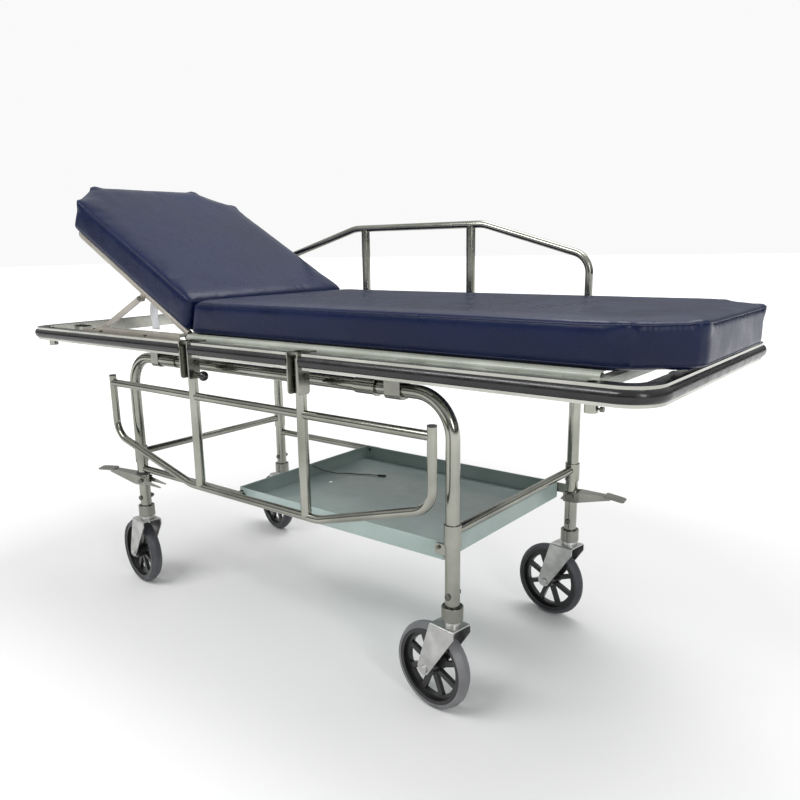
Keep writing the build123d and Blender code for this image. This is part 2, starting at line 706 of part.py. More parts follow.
def build_tracks():
    """Inward-opening channels that guide the feet of the backrest props."""
    tracks = []
    spacers = []
    y_open, y_web = TRACK_Y
    z_low, z_high = TRACK_Z
    sheet = TRACK_SHEET
    for side in SIDES:
        web = block(TRACK_X, (side * (y_web - sheet), side * y_web), (z_low - sheet, z_high + sheet))
        floor = block(TRACK_X, (side * y_open, side * y_web), (z_low - sheet, z_low))
        cover = block((TRACK_COVER_X, TRACK_X[1]), (side * y_open, side * y_web), (z_high, z_high + sheet))
        cut = block((TRACK_X[0], TRACK_COVER_X), (side * 318, side * 330), (z_high - 3, z_high + 5))
        track = web + floor + cover - cut
        for x in (-626, -410):
            hole = rod((x, side * 318, 778), (x, side * 345, 778), 3.0)
            track -= hole
            spacers.append(rod((x, side * (y_web + 0.1), 778), (x, side * (BUMPER_Y - 0.1), 778), 5.0))
        tracks.append(track)
    add("prop_tracks", *tracks)
    nodes["frame_screws"] = nodes["frame_screws"] + spacers


# ---------------------------------------------------------------- seat mattress
def chamfered_outline(head_x, foot_x, half, corner, foot):
    """Plan outline with the two corners at one end cut off."""
    cut_x, cut_y = corner
    if foot:
        return [(head_x, -half), (foot_x - cut_x, -half), (foot_x, -half + cut_y),
                (foot_x, half - cut_y), (foot_x - cut_x, half), (head_x, half)]
    return [(foot_x, -half), (head_x + cut_x, -half), (head_x, -half + cut_y),
            (head_x, half - cut_y), (head_x + cut_x, half), (foot_x, half)]


def build_seat_mattress():
    low, high = MATTRESS_Z
    outline = chamfered_outline(HINGE_X, MATTRESS_FOOT, MATTRESS_HALF, MATTRESS_CORNER, True)
    pad = prism(outline, Plane.XY.offset(low), high - low)
    slope = tan(radians(FOLD_ANGLE))
    gap = 1.5
    face_low = HINGE_X + gap + (low - 1 - HINGE_Z) * slope
    face_high = HINGE_X + gap + (high + 1 - HINGE_Z) * slope
    wedge = [(HINGE_X - 5, low - 1), (face_low, low - 1), (face_high, high + 1), (HINGE_X - 5, high + 1)]
    pad -= prism(wedge, across(400), 800)
    add("seat_mattress", pad.solids().sort_by(SortBy.VOLUME)[-1])


# ---------------------------------------------------------------- backrest, drawn lying flat
def tilt(shape):
    """Turn a piece of the flat backrest about the hinge to its resting tilt."""
    hinge = Location((HINGE_X, 0, HINGE_Z))
    return (hinge * Location((0, 0, 0), (0, REST_TILT, 0))) * shape


def prop_pivot_flat():
    """Upper prop pivot in the flat backrest: distance from the hinge and height."""
    angle = radians(PROP_ANGLE - REST_TILT)
    return PROP_ARM * cos(angle), PROP_ARM * sin(angle)


def build_backrest():
    y = BACK_TUBE_Y
    s = BACK_TUBE_S
    cut = BACK_TUBE_CORNER
    start = 14.0
    near_half = [(-start, -y, 0), (cut - s, -y, 0), (-s, cut - y, 0)]
    far_half = [(-s, y - cut, 0), (cut - s, y, 0), (-start, y, 0)]
    points = near_half + far_half
    frame = bent_tube(points, 45, BACK_TUBE_R, 1.5)
    pivot_s, pivot_n = prop_pivot_flat()
    pieces = []
    extras = []
    pins = []
    for side in SIDES:
        knuckle = rod((0, side * 265, 0), (0, side * 290, 0), 8.5, HINGE_PIN_R + FIT)
        frame -= rod((0, side * 260, 0), (0, side * 295, 0), 8.5 + FIT)
        pieces.append(knuckle)
        lug = rod((-pivot_s, side * 281, pivot_n), (-pivot_s, side * 286.5, pivot_n), 9.0)
        lug += block((-pivot_s - 9, -pivot_s + 9), (side * 281, side * 286.5), (pivot_n, 0))
        lug -= rod((-pivot_s - 30, side * y, 0), (-pivot_s + 30, side * y, 0), BACK_TUBE_R + FIT)
        lug = lug.solids().sort_by(SortBy.VOLUME)[-1]
        hole = rod((-pivot_s, side * 270, pivot_n), (-pivot_s, side * 300, pivot_n), PIN_R + FIT)
        extras.append(lug - hole)
        pin = rod((-pivot_s, side * 279.5, pivot_n), (-pivot_s, side * 296, pivot_n), PIN_R)
        pins.append(pin + rod((-pivot_s, side * 294.3, pivot_n), (-pivot_s, side * 297, pivot_n), 6.5))
    for bar_s in (70, 360):
        bar = rod((-bar_s, -y, 0), (-bar_s, y, 0), 6.5, 5.0)
        for side in SIDES:
            bar -= rod((-bar_s - 20, side * y, 0), (-bar_s + 20, side * y, 0), BACK_TUBE_R + FIT)
        pieces.append(bar.solids().sort_by(SortBy.VOLUME)[-1])
    frame_pieces = [frame] + pieces + extras
    add("backrest_frame", *[tilt(piece) for piece in frame_pieces])
    add("prop_pins", *[tilt(piece) for piece in pins])

    deck_half = BACK_TUBE_Y - BACK_TUBE_R - 1
    deck = prism(chamfered_outline(-645, -20, deck_half, (88, 88), False), Plane.XY.offset(6.8), 2.0)
    add("backrest_deck", tilt(deck))

    low, high = BACK_PAD_N
    outline = chamfered_outline(-BACK_PAD_S, 0, MATTRESS_HALF, BACK_PAD_CORNER, False)
    pad = prism(outline, Plane.XY.offset(low), high - low)
    slope = tan(radians(FOLD_ANGLE))
    gap = 1.5
    foot_point = (-gap - (low - 1) * slope, low - 1)
    top_point = (-gap - (high + 1) * slope, high + 1)
    wedge = [(5, low - 1), foot_point, top_point, (5, high + 1)]
    pad -= prism(wedge, across(400), 800)
    add("backrest_mattress", tilt(pad.solids().sort_by(SortBy.VOLUME)[-1]))


def build_props():
    """Prop arms: upper end on the backrest, roller at the lower end in the track."""
    angle = radians(PROP_ANGLE)
    top = (HINGE_X - PROP_ARM * cos(angle), HINGE_Z + PROP_ARM * sin(angle))
    foot_x = HINGE_X - 2 * PROP_ARM * cos(angle)
    for side, name in ((-1, "near"), (1, "far")):
        y_in, y_out = side * PROP_Y[0], side * PROP_Y[1]
        arm = rod((top[0], y_in, top[1]), (top[0], y_out, top[1]), 8.0)
        arm += rod((foot_x, y_in, HINGE_Z), (foot_x, y_out, HINGE_Z), 8.0)
        middle = ((top[0] + foot_x) / 2, (y_in + y_out) / 2, (top[1] + HINGE_Z) / 2)
        arm += Location(middle, (0, -PROP_ANGLE, 0)) * Box(PROP_ARM, PROP_Y[1] - PROP_Y[0], 16)
        arm -= rod((top[0], side * 280, top[1]), (top[0], side * 300, top[1]), PIN_R + FIT)
        foot_pin = rod((foot_x, y_out, HINGE_Z), (foot_x, side * ROLLER_Y[1], HINGE_Z), PIN_R)
        add(name + "_prop", arm + foot_pin)
        roller = rod((foot_x, side * ROLLER_Y[0], HINGE_Z), (foot_x, side * ROLLER_Y[1], HINGE_Z), ROLLER_R)
        bore = rod((foot_x, side * 300, HINGE_Z), (foot_x, side * 330, HINGE_Z), PIN_R + FIT)
        add(name + "_prop_roller", roller - bore)


# ---------------------------------------------------------------- casters, drawn facing +X
def caster_fork():
    """Pressed fork: a top plate and two raked cheeks, with the swivel race above."""
    across_v = Plane(origin=(0, FORK_HALF, 0), x_dir=(1, 0, 0), z_dir=(0, -1, 0))
    rear, front = -39.0, 27.0
    end_circle = Pos(-TRAIL - 3, WHEEL_R + 2) * Circle(17)
    top = make_face(Polyline((rear, FORK_TOP), (front, FORK_TOP), (front, FORK_TOP - 19), close=True))
    outline = make_hull(end_circle.edges() + top.edges())
    fork = extrude(across_v * outline, 2 * FORK_HALF)
    top_edges = fork.edges().filter_by(Axis.X).sort_by(Axis.Z)[-2:]
    fork = fillet(top_edges, 6.0)
    inner_half = FORK_HALF - FORK_SHEET
    core = block((-120, 60), (-inner_half, inner_half), (60, FORK_TOP - FORK_SHEET))
    core = fillet(core.edges().filter_by(Axis.X).sort_by(Axis.Z)[-2:], 3.0)
    fork -= core
    fork -= rod((0, 0, FORK_TOP - 10), (0, 0, FORK_TOP + 1), STEM_R + FIT)
    return fork - axle_rod(-40, 40, AXLE_R + FIT)


def axle_rod(v_low, v_high, radius):
    return rod((-TRAIL, v_low, WHEEL_R), (-TRAIL, v_high, WHEEL_R), radius)


def caster_stem():
    """Stem with the swivel race pressed on under the socket."""
    race = rod((0, 0, FORK_TOP + FIT), (0, 0, 227.9), 19.0)
    rim = race.edges().filter_by(GeomType.CIRCLE).sort_by(Axis.Z)[-1]
    race = fillet(rim, 3.0)
    return race + rod((0, 0, FORK_TOP - FORK_SHEET - 2), (0, 0, 270.0), STEM_R)


def caster_axle():
    """Axle bolt: domed head on the near cheek and nut on the far cheek."""
    shank = axle_rod(-FORK_HALF - 1, FORK_HALF + 8, AXLE_R)
    head = axle_rod(-FORK_HALF - 6, -FORK_HALF - FIT, 9.0)
    head = fillet(head.edges().filter_by(GeomType.CIRCLE).sort_by(Axis.Y)[0], 3.0)
    nut_plane = Plane(origin=(-TRAIL, FORK_HALF + FIT, WHEEL_R), z_dir=(0, 1, 0))
    return shank + head + extrude(nut_plane * RegularPolygon(9.0, 6), 7.0)


def wheel_ring(inner, outer, half_width):
    """Ring about the axle."""
    plane = Plane(origin=(-TRAIL, half_width, WHEEL_R), x_dir=(1, 0, 0), z_dir=(0, -1, 0))
    return extrude(plane * (Circle(outer) - Circle(inner)), 2 * half_width)


def wheel_hub():
    """Spoked plastic hub: boss, spokes and a rim with a thinner inner flange."""
    boss_r, flange_in, rim_in, rim_out = 20.0, 69.5, 79.0, HUB_R
    hub = wheel_ring(AXLE_R + FIT, boss_r, 24.0) + wheel_ring(rim_in, rim_out, 14.5)
    hub += wheel_ring(flange_in, rim_in + 1, 6.0)
    plane = Plane(origin=(-TRAIL, 5.0, WHEEL_R), x_dir=(1, 0, 0), z_dir=(0, -1, 0))
    for index in range(HUB_SPOKES):
        turn = Rot(0, 0, (index + 0.5) * 360 / HUB_SPOKES)
        middle = (boss_r + flange_in) / 2
        spoke = turn * (Pos(middle, 0) * Rectangle(flange_in - boss_r + 4, 12))
        hub += extrude(plane * spoke, 10.0)
    return hub


def wheel_tyre():
    """Solid rubber tyre with rounded shoulders."""
    inner, shoulder, outer, half = HUB_R + FIT, 92.0, WHEEL_R, 17.0
    outline = Polyline((outer - 3, -9), (shoulder, -half), (inner, 1.5 - half), (inner, half - 1.5),
                       (shoulder, half), (outer - 3, 9))
    tread = ThreePointArc((outer - 3, 9), (outer, 0), (outer - 3, -9))
    profile = make_face(outline + tread)
    axis_plane = Plane(origin=(-TRAIL, 0, WHEEL_R), x_dir=(1, 0, 0), z_dir=(0, 0, 1))
    section = axis_plane * profile
    return revolve(section, Axis((-TRAIL, 0, WHEEL_R), (0, 1, 0)), 360)


def build_casters():
    pieces = {
        "fork": caster_fork(), "stem": caster_stem(), "axle": caster_axle(),
        "hub": wheel_hub(), "tyre": wheel_tyre(),
    }
    for corner, (end, side, heading) in CASTERS.items():
        place = Location((end * LEG_X, side * LEG_Y, 0), (0, 0, heading - 180))
        add("caster_fork_" + corner, *[place * pieces[name] for name in ("fork", "stem", "axle")])
        for name in ("hub", "tyre"):
            add("caster_" + name + "_" + corner, place * pieces[name])


# ---------------------------------------------------------------- brake pedals, drawn along +X
def pedal_body(shrink=0.0):
    """Tapered lever: plan outline crossed with side outline, smaller by the sheet inside."""
    half_root, half_tip = 19.5 - shrink, 9.0 - shrink
    plan = [(-16, -half_root), (26, -half_root), (104, -half_tip)]
    plan += [(104, half_tip), (26, half_root), (-16, half_root)]
    drop = 30.0 if shrink else 0.0
    side = [(-16 - shrink, -13 - drop), (14, -14 - drop), (104, 3 - drop), (104 + shrink, 13 - shrink),
            (24, 14 - shrink), (-16 - shrink, 11 - shrink + drop)]
    upright = Plane(origin=(0, 40, 0), x_dir=(1, 0, 0), z_dir=(0, -1, 0))
    return prism(plan, Plane.XY.offset(-80), 160) & prism(side, upright, 80)


def pedal_lever(tail_length):
    """Folded lever that straddles the leg, with a dished pad and a short tail."""
    lever = pedal_body() - pedal_body(PEDAL_SHEET)
    lever -= block((-60, 22), (-17.3, 17.3), (-40, 40))
    for side in SIDES:
        tail = [(-14, -9), (-14, 5), (-tail_length, -6), (-tail_length, -10)]
        plane = Plane(origin=(0, side * 17.5 + 1, 0), x_dir=(1, 0, 0), z_dir=(0, -1, 0))
        lever += prism(tail, plane, 2.0)
    pad_centre = Location((114, 0, 8), (0, 10, 0))
    dish = pad_centre * extrude(RectangleRounded(52, 40, 9), 3.0)
    lever += dish
    lever -= block((-60, 22), (-17.3, 17.3), (-40, 40))
    return lever - rod((0, -40, 0), (0, 40, 0), 4.0 + FIT)


def pedal_pivot():
    """Pivot bolt through the leg with a broad domed head."""
    shank = rod((0, -21, 0), (0, 24, 0), 4.0)
    head = rod((0, -27, 0), (0, -20.2, 0), 11.5)
    head = fillet(head.edges().filter_by(GeomType.CIRCLE).sort_by(Axis.Y)[0], 3.0)
    nut_plane = Plane(origin=(0, 20.2, 0), z_dir=(0, 1, 0))
    return shank + head + extrude(nut_plane * RegularPolygon(7.0, 6), 6.0)


def pedal_places():
    places = {}
    for name, (end, side, heading, height, tail) in PEDALS.items():
        places[name] = Location((end * LEG_X, side * LEG_Y, height), (0, 0, heading))
    return places


def build_pedals():
    pivots = []
    for name, place in pedal_places().items():
        lean = Rot(0, -PEDAL_RISE[name], 0)
        add(name + "_brake_pedal", place * lean * pedal_lever(PEDALS[name][-1]))
        pivots.extend((place * pedal_pivot()).solids())
        hole = place * rod((0, -40, 0), (0, 40, 0), 4.0 + FIT)
        nodes["lower_legs"] = [piece for leg in nodes["lower_legs"] for piece in (leg - hole).solids()]
    collars = [rod((0, 0, 15.8), (0, 0, 23.8), 19.0, LOWER_LEG_R + FIT)]
    head_place = pedal_places()["head"]
    nodes["leg_bolts"] = nodes["leg_bolts"] + pivots
    add("pedal_collar", *[head_place * collar for collar in collars])


# ---------------------------------------------------------------- build and write
build_undercarriage()
build_tray()
build_lanyard()
build_clamps()
build_bumper()
build_brackets()
build_side_rail(-1, "near", -1)
build_side_rail(1, "far", 1)
build_platform()
build_hinge_pins()
build_tracks()
build_seat_mattress()
build_backrest()
build_props()
build_casters()
build_pedals()

os.makedirs("parts", exist_ok=True)
shift = Location((CENTRE_SHIFT, 0, 0))
for node, solids in nodes.items():
    moved = [shift * solid for solid in solids]
    whole = moved[0] if len(moved) == 1 else Compound(children=moved)
    whole.label = node
    export_step(whole, "parts/" + node + ".step")
print(len(nodes), "nodes")
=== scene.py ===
"""Looks of the stretcher trolley: upholstery, finishes, small fittings and a plain studio."""
import json
from math import cos, pi, radians, sin, tan

import bmesh
import bpy
from mathutils import Matrix, Vector
from mathutils.bvhtree import BVHTree


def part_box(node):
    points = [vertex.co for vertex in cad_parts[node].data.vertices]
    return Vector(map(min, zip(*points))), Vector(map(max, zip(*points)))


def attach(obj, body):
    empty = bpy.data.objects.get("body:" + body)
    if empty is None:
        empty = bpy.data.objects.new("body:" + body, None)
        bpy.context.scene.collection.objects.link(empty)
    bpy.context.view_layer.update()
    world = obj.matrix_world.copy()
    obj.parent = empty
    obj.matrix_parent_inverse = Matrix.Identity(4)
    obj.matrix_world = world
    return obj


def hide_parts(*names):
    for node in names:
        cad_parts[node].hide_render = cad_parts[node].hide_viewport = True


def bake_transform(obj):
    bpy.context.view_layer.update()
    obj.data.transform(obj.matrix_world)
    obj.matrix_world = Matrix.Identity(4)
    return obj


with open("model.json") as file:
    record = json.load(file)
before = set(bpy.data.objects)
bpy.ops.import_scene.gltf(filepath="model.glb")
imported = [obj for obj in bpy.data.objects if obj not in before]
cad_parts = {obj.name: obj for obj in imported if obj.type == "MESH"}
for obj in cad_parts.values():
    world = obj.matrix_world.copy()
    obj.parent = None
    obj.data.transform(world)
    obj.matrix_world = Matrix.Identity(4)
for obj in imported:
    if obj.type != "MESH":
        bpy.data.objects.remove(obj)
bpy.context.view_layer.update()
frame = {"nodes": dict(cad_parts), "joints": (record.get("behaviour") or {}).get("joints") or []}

# ---------------------------------------------------------------- places taken from the frame
JOINTS = {joint["name"]: joint for joint in frame["joints"]}
HINGE = Vector(JOINTS["backrest_tilt"]["pos_m"])
TILT = radians(28.9)
SHIFT = -0.0095
SEAT_LOW, SEAT_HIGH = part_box("seat_mattress")
CORNERS = ("head_near", "head_far", "foot_near", "foot_far")


# ---------------------------------------------------------------- camera and studio
def place_camera():
    """Camera at the eye point, turned to the aim point, with a slight roll."""
    eye = Vector((1.3766 + SHIFT, -1.5133, 0.9998))
    aim = Vector((0.0720 + SHIFT, 0.0746, 0.5092))
    roll = -0.01941
    forward = (aim - eye).normalized()
    right = forward.cross(Vector((0, 0, 1))).normalized()
    up = right.cross(forward)
    rolled_right = cos(roll) * right + sin(roll) * up
    rolled_up = cos(roll) * up - sin(roll) * right
    turn = Matrix((rolled_right, rolled_up, -forward)).transposed()
    data = bpy.data.cameras.new("camera")
    data.lens = 34.216
    data.sensor_width = 36.0
    data.shift_x = 0.025
    data.shift_y = 0.0358
    camera = bpy.data.objects.new("camera", data)
    camera.matrix_world = Matrix.Translation(eye) @ turn.to_4x4()
    bpy.context.scene.collection.objects.link(camera)
    bpy.context.scene.camera = camera


def area_light(name, place, aim, size, power):
    """Rectangular soft box turned to its aim point."""
    data = bpy.data.lights.new(name, "AREA")
    data.shape = "RECTANGLE"
    data.size, data.size_y = size
    data.energy = power
    lamp = bpy.data.objects.new(name, data)
    lamp.location = place
    lamp.rotation_euler = (Vector(aim) - Vector(place)).to_track_quat("-Z", "Y").to_euler()
    bpy.context.scene.collection.objects.link(lamp)


def studio_floor():
    """Pale floor that glows more with distance, so that it fades into the white world."""
    mesh = bpy.data.meshes.new("floor")
    reach = 60.0
    corners = [(-reach, -reach, 0), (reach, -reach, 0), (reach, reach, 0), (-reach, reach, 0)]
    mesh.from_pydata(corners, [], [(0, 1, 2, 3)])
    floor = bpy.data.objects.new("floor", mesh)
    bpy.context.scene.collection.objects.link(floor)
    cover = Surface("studio_floor", (0.80, 0.80, 0.80), roughness=0.9)
    distance = cover.tree.nodes.new("ShaderNodeVectorMath")
    distance.operation = "LENGTH"
    cover.tree.links.new(cover.coordinates.outputs["Object"], distance.inputs[0])
    glow = cover.tree.nodes.new("ShaderNodeMapRange")
    glow.inputs["From Min"].default_value = 1.2
    glow.inputs["From Max"].default_value = 4.5
    glow.inputs["To Max"].default_value = 0.75
    cover.tree.links.new(distance.outputs["Value"], glow.inputs["Value"])
    cover.shader.inputs["Emission Color"].default_value = (1, 1, 1, 1)
    cover.tree.links.new(glow.outputs["Result"], cover.shader.inputs["Emission Strength"])
    mesh.materials.append(cover.material)


def studio_world():
    """World that is white to the camera and banded by height in reflections."""
    world = bpy.data.worlds.new("studio_world")
    bpy.context.scene.world = world
    world.use_nodes = True
    nodes, links = world.node_tree.nodes, world.node_tree.links
    background = nodes["Background"]
    coordinates = nodes.new("ShaderNodeTexCoord")
    split = nodes.new("ShaderNodeSeparateXYZ")
    bands = nodes.new("ShaderNodeValToRGB")
    links.new(coordinates.outputs["Generated"], split.inputs[0])
    spread = nodes.new("ShaderNodeMath")
    spread.operation = "MULTIPLY_ADD"
    spread.inputs[1].default_value = 0.5
    spread.inputs[2].default_value = 0.5
    links.new(split.outputs["Z"], spread.inputs[0])
    links.new(spread.outputs[0], bands.inputs[0])
    steps = ((0.0, 0.30), (0.46, 0.10), (0.50, 0.05), (0.58, 0.22), (0.68, 0.70), (1.0, 0.85))
    ramp = bands.color_ramp.elements
    while len(ramp) < len(steps):
        ramp.new(0.5)
    for element, (position, value) in zip(ramp, steps):
        element.position = position
        element.color = (value, value * 1.01, value, 1)
    direct = nodes.new("ShaderNodeLightPath")
    mix = nodes.new("ShaderNodeMixRGB")
    mix.inputs[2].default_value = (1, 1, 1, 1)
    links.new(direct.outputs["Is Camera Ray"], mix.inputs[0])
    links.new(bands.outputs[0], mix.inputs[1])
    links.new(mix.outputs[0], background.inputs["Color"])
    background.inputs["Strength"].default_value = 0.95


def studio():
    """View transform, floor, soft boxes and world."""
    bpy.context.scene.view_settings.view_transform = "Standard"
    studio_floor()
    area_light("key_light", (-0.6, -2.4, 3.0), (0, 0, 0.6), (2.4, 0.9), 62)
    area_light("side_light", (3.2, -1.6, 1.9), (0.3, 0, 0.6), (0.5, 1.6), 22)
    area_light("top_light", (0.4, 1.0, 3.4), (0.1, 0, 0.8), (2.6, 1.6), 60)
    studio_world()


# ---------------------------------------------------------------- materials
class Surface:
    """A principled material with helpers for procedural colour, roughness and bump."""

    def __init__(self, name, colour, metallic=0.0, roughness=0.5, **sockets):
        self.material = bpy.data.materials.new(name)
        self.material.use_nodes = True
        self.tree = self.material.node_tree
        self.shader = self.tree.nodes["Principled BSDF"]
        self.shader.inputs["Base Color"].default_value = (*colour, 1)
        self.shader.inputs["Metallic"].default_value = metallic
        self.shader.inputs["Roughness"].default_value = roughness
        for key, value in sockets.items():
            self.shader.inputs[key.replace("_", " ").title()].default_value = value
        self.coordinates = self.tree.nodes.new("ShaderNodeTexCoord")
        self.height = None

    def texture(self, kind, scale, stretch=(1, 1, 1), **settings):
        """A procedural texture in object coordinates; returns its grey output."""
        mapping = self.tree.nodes.new("ShaderNodeMapping")
        mapping.inputs["Scale"].default_value = stretch
        self.tree.links.new(self.coordinates.outputs["Object"], mapping.inputs["Vector"])
        node = self.tree.nodes.new("ShaderNodeTex" + kind)
        node.inputs["Scale"].default_value = scale
        for key, value in settings.items():
            node.inputs[key.replace("_", " ").title()].default_value = value
        self.tree.links.new(mapping.outputs[0], node.inputs["Vector"])
        return node.outputs["Distance" if kind == "Voronoi" else "Fac"]

    def ramp(self, source, low, high):
        """Grey source spread between two colours or two values."""
        node = self.tree.nodes.new("ShaderNodeValToRGB")
        first, last = node.color_ramp.elements
        first.position, last.position = 0.3, 0.7
        first.color = (*low, 1) if isinstance(low, tuple) else (low, low, low, 1)
        last.color = (*high, 1) if isinstance(high, tuple) else (high, high, high, 1)
        self.tree.links.new(source, node.inputs[0])
        return node.outputs["Color"]

    def colour(self, source, low, high):
        self.tree.links.new(self.ramp(source, low, high), self.shader.inputs["Base Color"])
        return self

    def rough(self, source, low, high):
        self.tree.links.new(self.ramp(source, low, high), self.shader.inputs["Roughness"])
        return self

    def bump(self, source, strength, distance):
        """Adds a layer of relief; distance is in metres."""
        node = self.tree.nodes.new("ShaderNodeBump")
        node.inputs["Strength"].default_value = strength
        node.inputs["Distance"].default_value = distance
        self.tree.links.new(source, node.inputs["Height"])
        if self.height is not None:
            self.tree.links.new(self.height, node.inputs["Normal"])
        self.height = node.outputs["Normal"]
        self.tree.links.new(self.height, self.shader.inputs["Normal"])
        return self


def steel(name, dark, light, roughness, grain=0.12, cloud=6.0):
    """Worked metal: cloudy tone, rubbed patches and fine polishing lines."""
    surface = Surface(name, light, metallic=1.0)
    surface.colour(surface.texture("Noise", cloud, Detail=4.0), dark, light)
    low, high = roughness
    surface.rough(surface.texture("Noise", 22.0, Detail=6.0), low, high)
    surface.bump(surface.texture("Noise", 60.0, (1, 1, 30), Detail=3.0), grain, 0.0002)
    return surface.material


def enamel(name, dark, light):
    """Sprayed enamel with slight orange peel and rubbed tone."""
    surface = Surface(name, light, roughness=0.38, coat_weight=0.25)
    surface.colour(surface.texture("Noise", 9.0, Detail=5.0), dark, light)
    surface.rough(surface.texture("Noise", 35.0, Detail=4.0), 0.30, 0.48)
    surface.bump(surface.texture("Noise", 260.0, Detail=2.0), 0.15, 0.0002)
    return surface.material


def coated_cloth():
    """Navy upholstery cloth with a fine leather grain and gentle folds."""
    surface = Surface("navy_vinyl", (0.003, 0.007, 0.034), roughness=0.3)
    surface.shader.inputs["Specular IOR Level"].default_value = 0.22
    tone = surface.texture("Noise", 3.5, Detail=5.0)
    surface.colour(tone, (0.002, 0.006, 0.028), (0.005, 0.011, 0.048))
    surface.rough(surface.texture("Noise", 14.0, Detail=6.0), 0.22, 0.36)
    surface.bump(surface.texture("Voronoi", 520.0), 0.35, 0.0004)
    surface.bump(surface.texture("Noise", 26.0, Detail=3.0), 0.22, 0.003)
    return surface.material


def rubber(name, dark, light, roughness=0.5):
    """Moulded rubber with a dusty bloom."""
    surface = Surface(name, dark, roughness=roughness)
    surface.colour(surface.texture("Noise", 18.0, Detail=6.0), dark, light)
    surface.rough(surface.texture("Noise", 40.0, Detail=4.0), roughness - 0.08, roughness + 0.12)
    surface.bump(surface.texture("Noise", 420.0, Detail=2.0), 0.2, 0.0002)
    return surface.material


def moulded(name, colour, roughness=0.3):
    """Injection-moulded plastic."""
    surface = Surface(name, colour, roughness=roughness, coat_weight=0.2)
    light = tuple(value * 1.35 + 0.004 for value in colour)
    surface.colour(surface.texture("Noise", 30.0, Detail=3.0), colour, light)
    surface.rough(surface.texture("Noise", 50.0, Detail=4.0), roughness - 0.06, roughness + 0.10)
    surface.bump(surface.texture("Noise", 300.0, Detail=2.0), 0.12, 0.0002)
    return surface.material


def paper():
    """Coated tag stock with faint creases."""
    surface = Surface("tag_stock", (0.62, 0.63, 0.66), roughness=0.4)
    surface.colour(surface.texture("Noise", 60.0, Detail=3.0), (0.56, 0.57, 0.61), (0.70, 0.70, 0.72))
    surface.bump(surface.texture("Noise", 90.0, Detail=2.0), 0.4, 0.0008)
    return surface.material


def cord_fibre():
    """Dull twisted fibre of the lanyard."""
    surface = Surface("lanyard_fibre", (0.10, 0.10, 0.10), roughness=0.7)
    surface.colour(surface.texture("Wave", 900.0), (0.05, 0.05, 0.05), (0.22, 0.22, 0.21))
    surface.bump(surface.texture("Noise", 1500.0), 0.5, 0.0003)
    return surface.material


MATERIALS = {
    "polished_tube": steel("polished_tube", (0.20, 0.205, 0.175), (0.36, 0.36, 0.32), (0.10, 0.22)),
    "steel_sheet": steel("steel_sheet", (0.17, 0.17, 0.15), (0.32, 0.32, 0.29), (0.18, 0.34)),
    "bumper_steel": steel("bumper_steel", (0.34, 0.34, 0.31), (0.50, 0.50, 0.46), (0.12, 0.24)),
    "fastener_steel": steel("fastener_steel", (0.08, 0.08, 0.075), (0.20, 0.19, 0.17), (0.28, 0.45)),
    "zinc_fork": steel("zinc_fork", (0.42, 0.42, 0.41), (0.62, 0.62, 0.61), (0.28, 0.44), cloud=30.0),
    "tray_enamel": enamel("tray_enamel", (0.285, 0.365, 0.345), (0.36, 0.44, 0.42)),
    "platform_enamel": enamel("platform_enamel", (0.27, 0.29, 0.25), (0.42, 0.44, 0.39)),
    "backrest_enamel": enamel("backrest_enamel", (0.24, 0.22, 0.19), (0.36, 0.335, 0.29)),
    "navy_vinyl": coated_cloth(),
    "black_rubber": rubber("black_rubber", (0.004, 0.004, 0.005), (0.010, 0.010, 0.012), 0.24),
    # Lit and shaded copies of one tyre rubber: the lighter grey copy is painted light, the darker copy is
    # painted shade.
    "lit_tyre": rubber("lit_tyre", (0.13, 0.13, 0.14), (0.19, 0.19, 0.20)),
    "shaded_tyre": rubber("shaded_tyre", (0.035, 0.037, 0.045), (0.075, 0.078, 0.09)),
    "wheel_plastic": moulded("wheel_plastic", (0.006, 0.006, 0.007), 0.32),
    "black_plastic": moulded("black_plastic", (0.006, 0.006, 0.006), 0.18),
    "white_nylon": moulded("white_nylon", (0.75, 0.74, 0.70), 0.4),
    "tag_stock": paper(),
    "lanyard_fibre": cord_fibre(),
}

NODE_MATERIALS = {
    "polished_tube": ["near_side_frame", "far_side_frame", "leg_sleeves", "lower_legs", "lower_tubes",
                      "near_side_rail", "far_side_rail", "clamp_sleeves", "iv_sockets"],
    "steel_sheet": ["rail_brackets", "clamp_blocks", "caster_sockets", "head_brake_pedal", "foot_brake_pedal",
                    "latch_housings"],
    "bumper_steel": ["head_bumper", "foot_bumper", "near_bumper", "far_bumper"],
    "fastener_steel": ["leg_bolts", "tray_screws", "frame_screws", "rail_pivot_pins", "hinge_pins",
                       "prop_pins"],
    "zinc_fork": ["caster_fork_" + corner for corner in CORNERS],
    "tray_enamel": ["tray"],
    "platform_enamel": ["platform_frame", "platform_plates", "platform_deck"],
    "backrest_enamel": ["backrest_frame", "backrest_deck", "prop_tracks", "near_prop", "far_prop"],
    "black_rubber": ["bumper_strips", "backrest_rest_pads", "pedal_collar"],
    # Painted light on the tyres: the foot-near tyre takes the lighter, lit rubber copy and the other three
    # take the darker, shaded copy.
    "lit_tyre": ["caster_tyre_foot_near"],
    "shaded_tyre": ["caster_tyre_head_near", "caster_tyre_head_far", "caster_tyre_foot_far"],
    "wheel_plastic": ["caster_hub_" + corner for corner in CORNERS],
    "black_plastic": ["near_rail_caps", "far_rail_caps", "near_latch", "far_latch", "near_prop_roller",
                      "far_prop_roller", "lanyard_toggle"],
    "white_nylon": ["stem_bushes"],
}


def dress_cad_nodes():
    """Gives every CAD node its finish."""
    for name, members in NODE_MATERIALS.items():
        for member in members:
            piece = frame["nodes"][member]
            piece.data.materials.clear()
            piece.data.materials.append(MATERIALS[name])


# ---------------------------------------------------------------- mesh helpers
def new_piece(name, data, material, body=None):
    piece = bpy.data.objects.new(name, data)
    bpy.context.scene.collection.objects.link(piece)
    data.materials.append(MATERIALS[material])
    if body:
        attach(piece, body)
    return piece


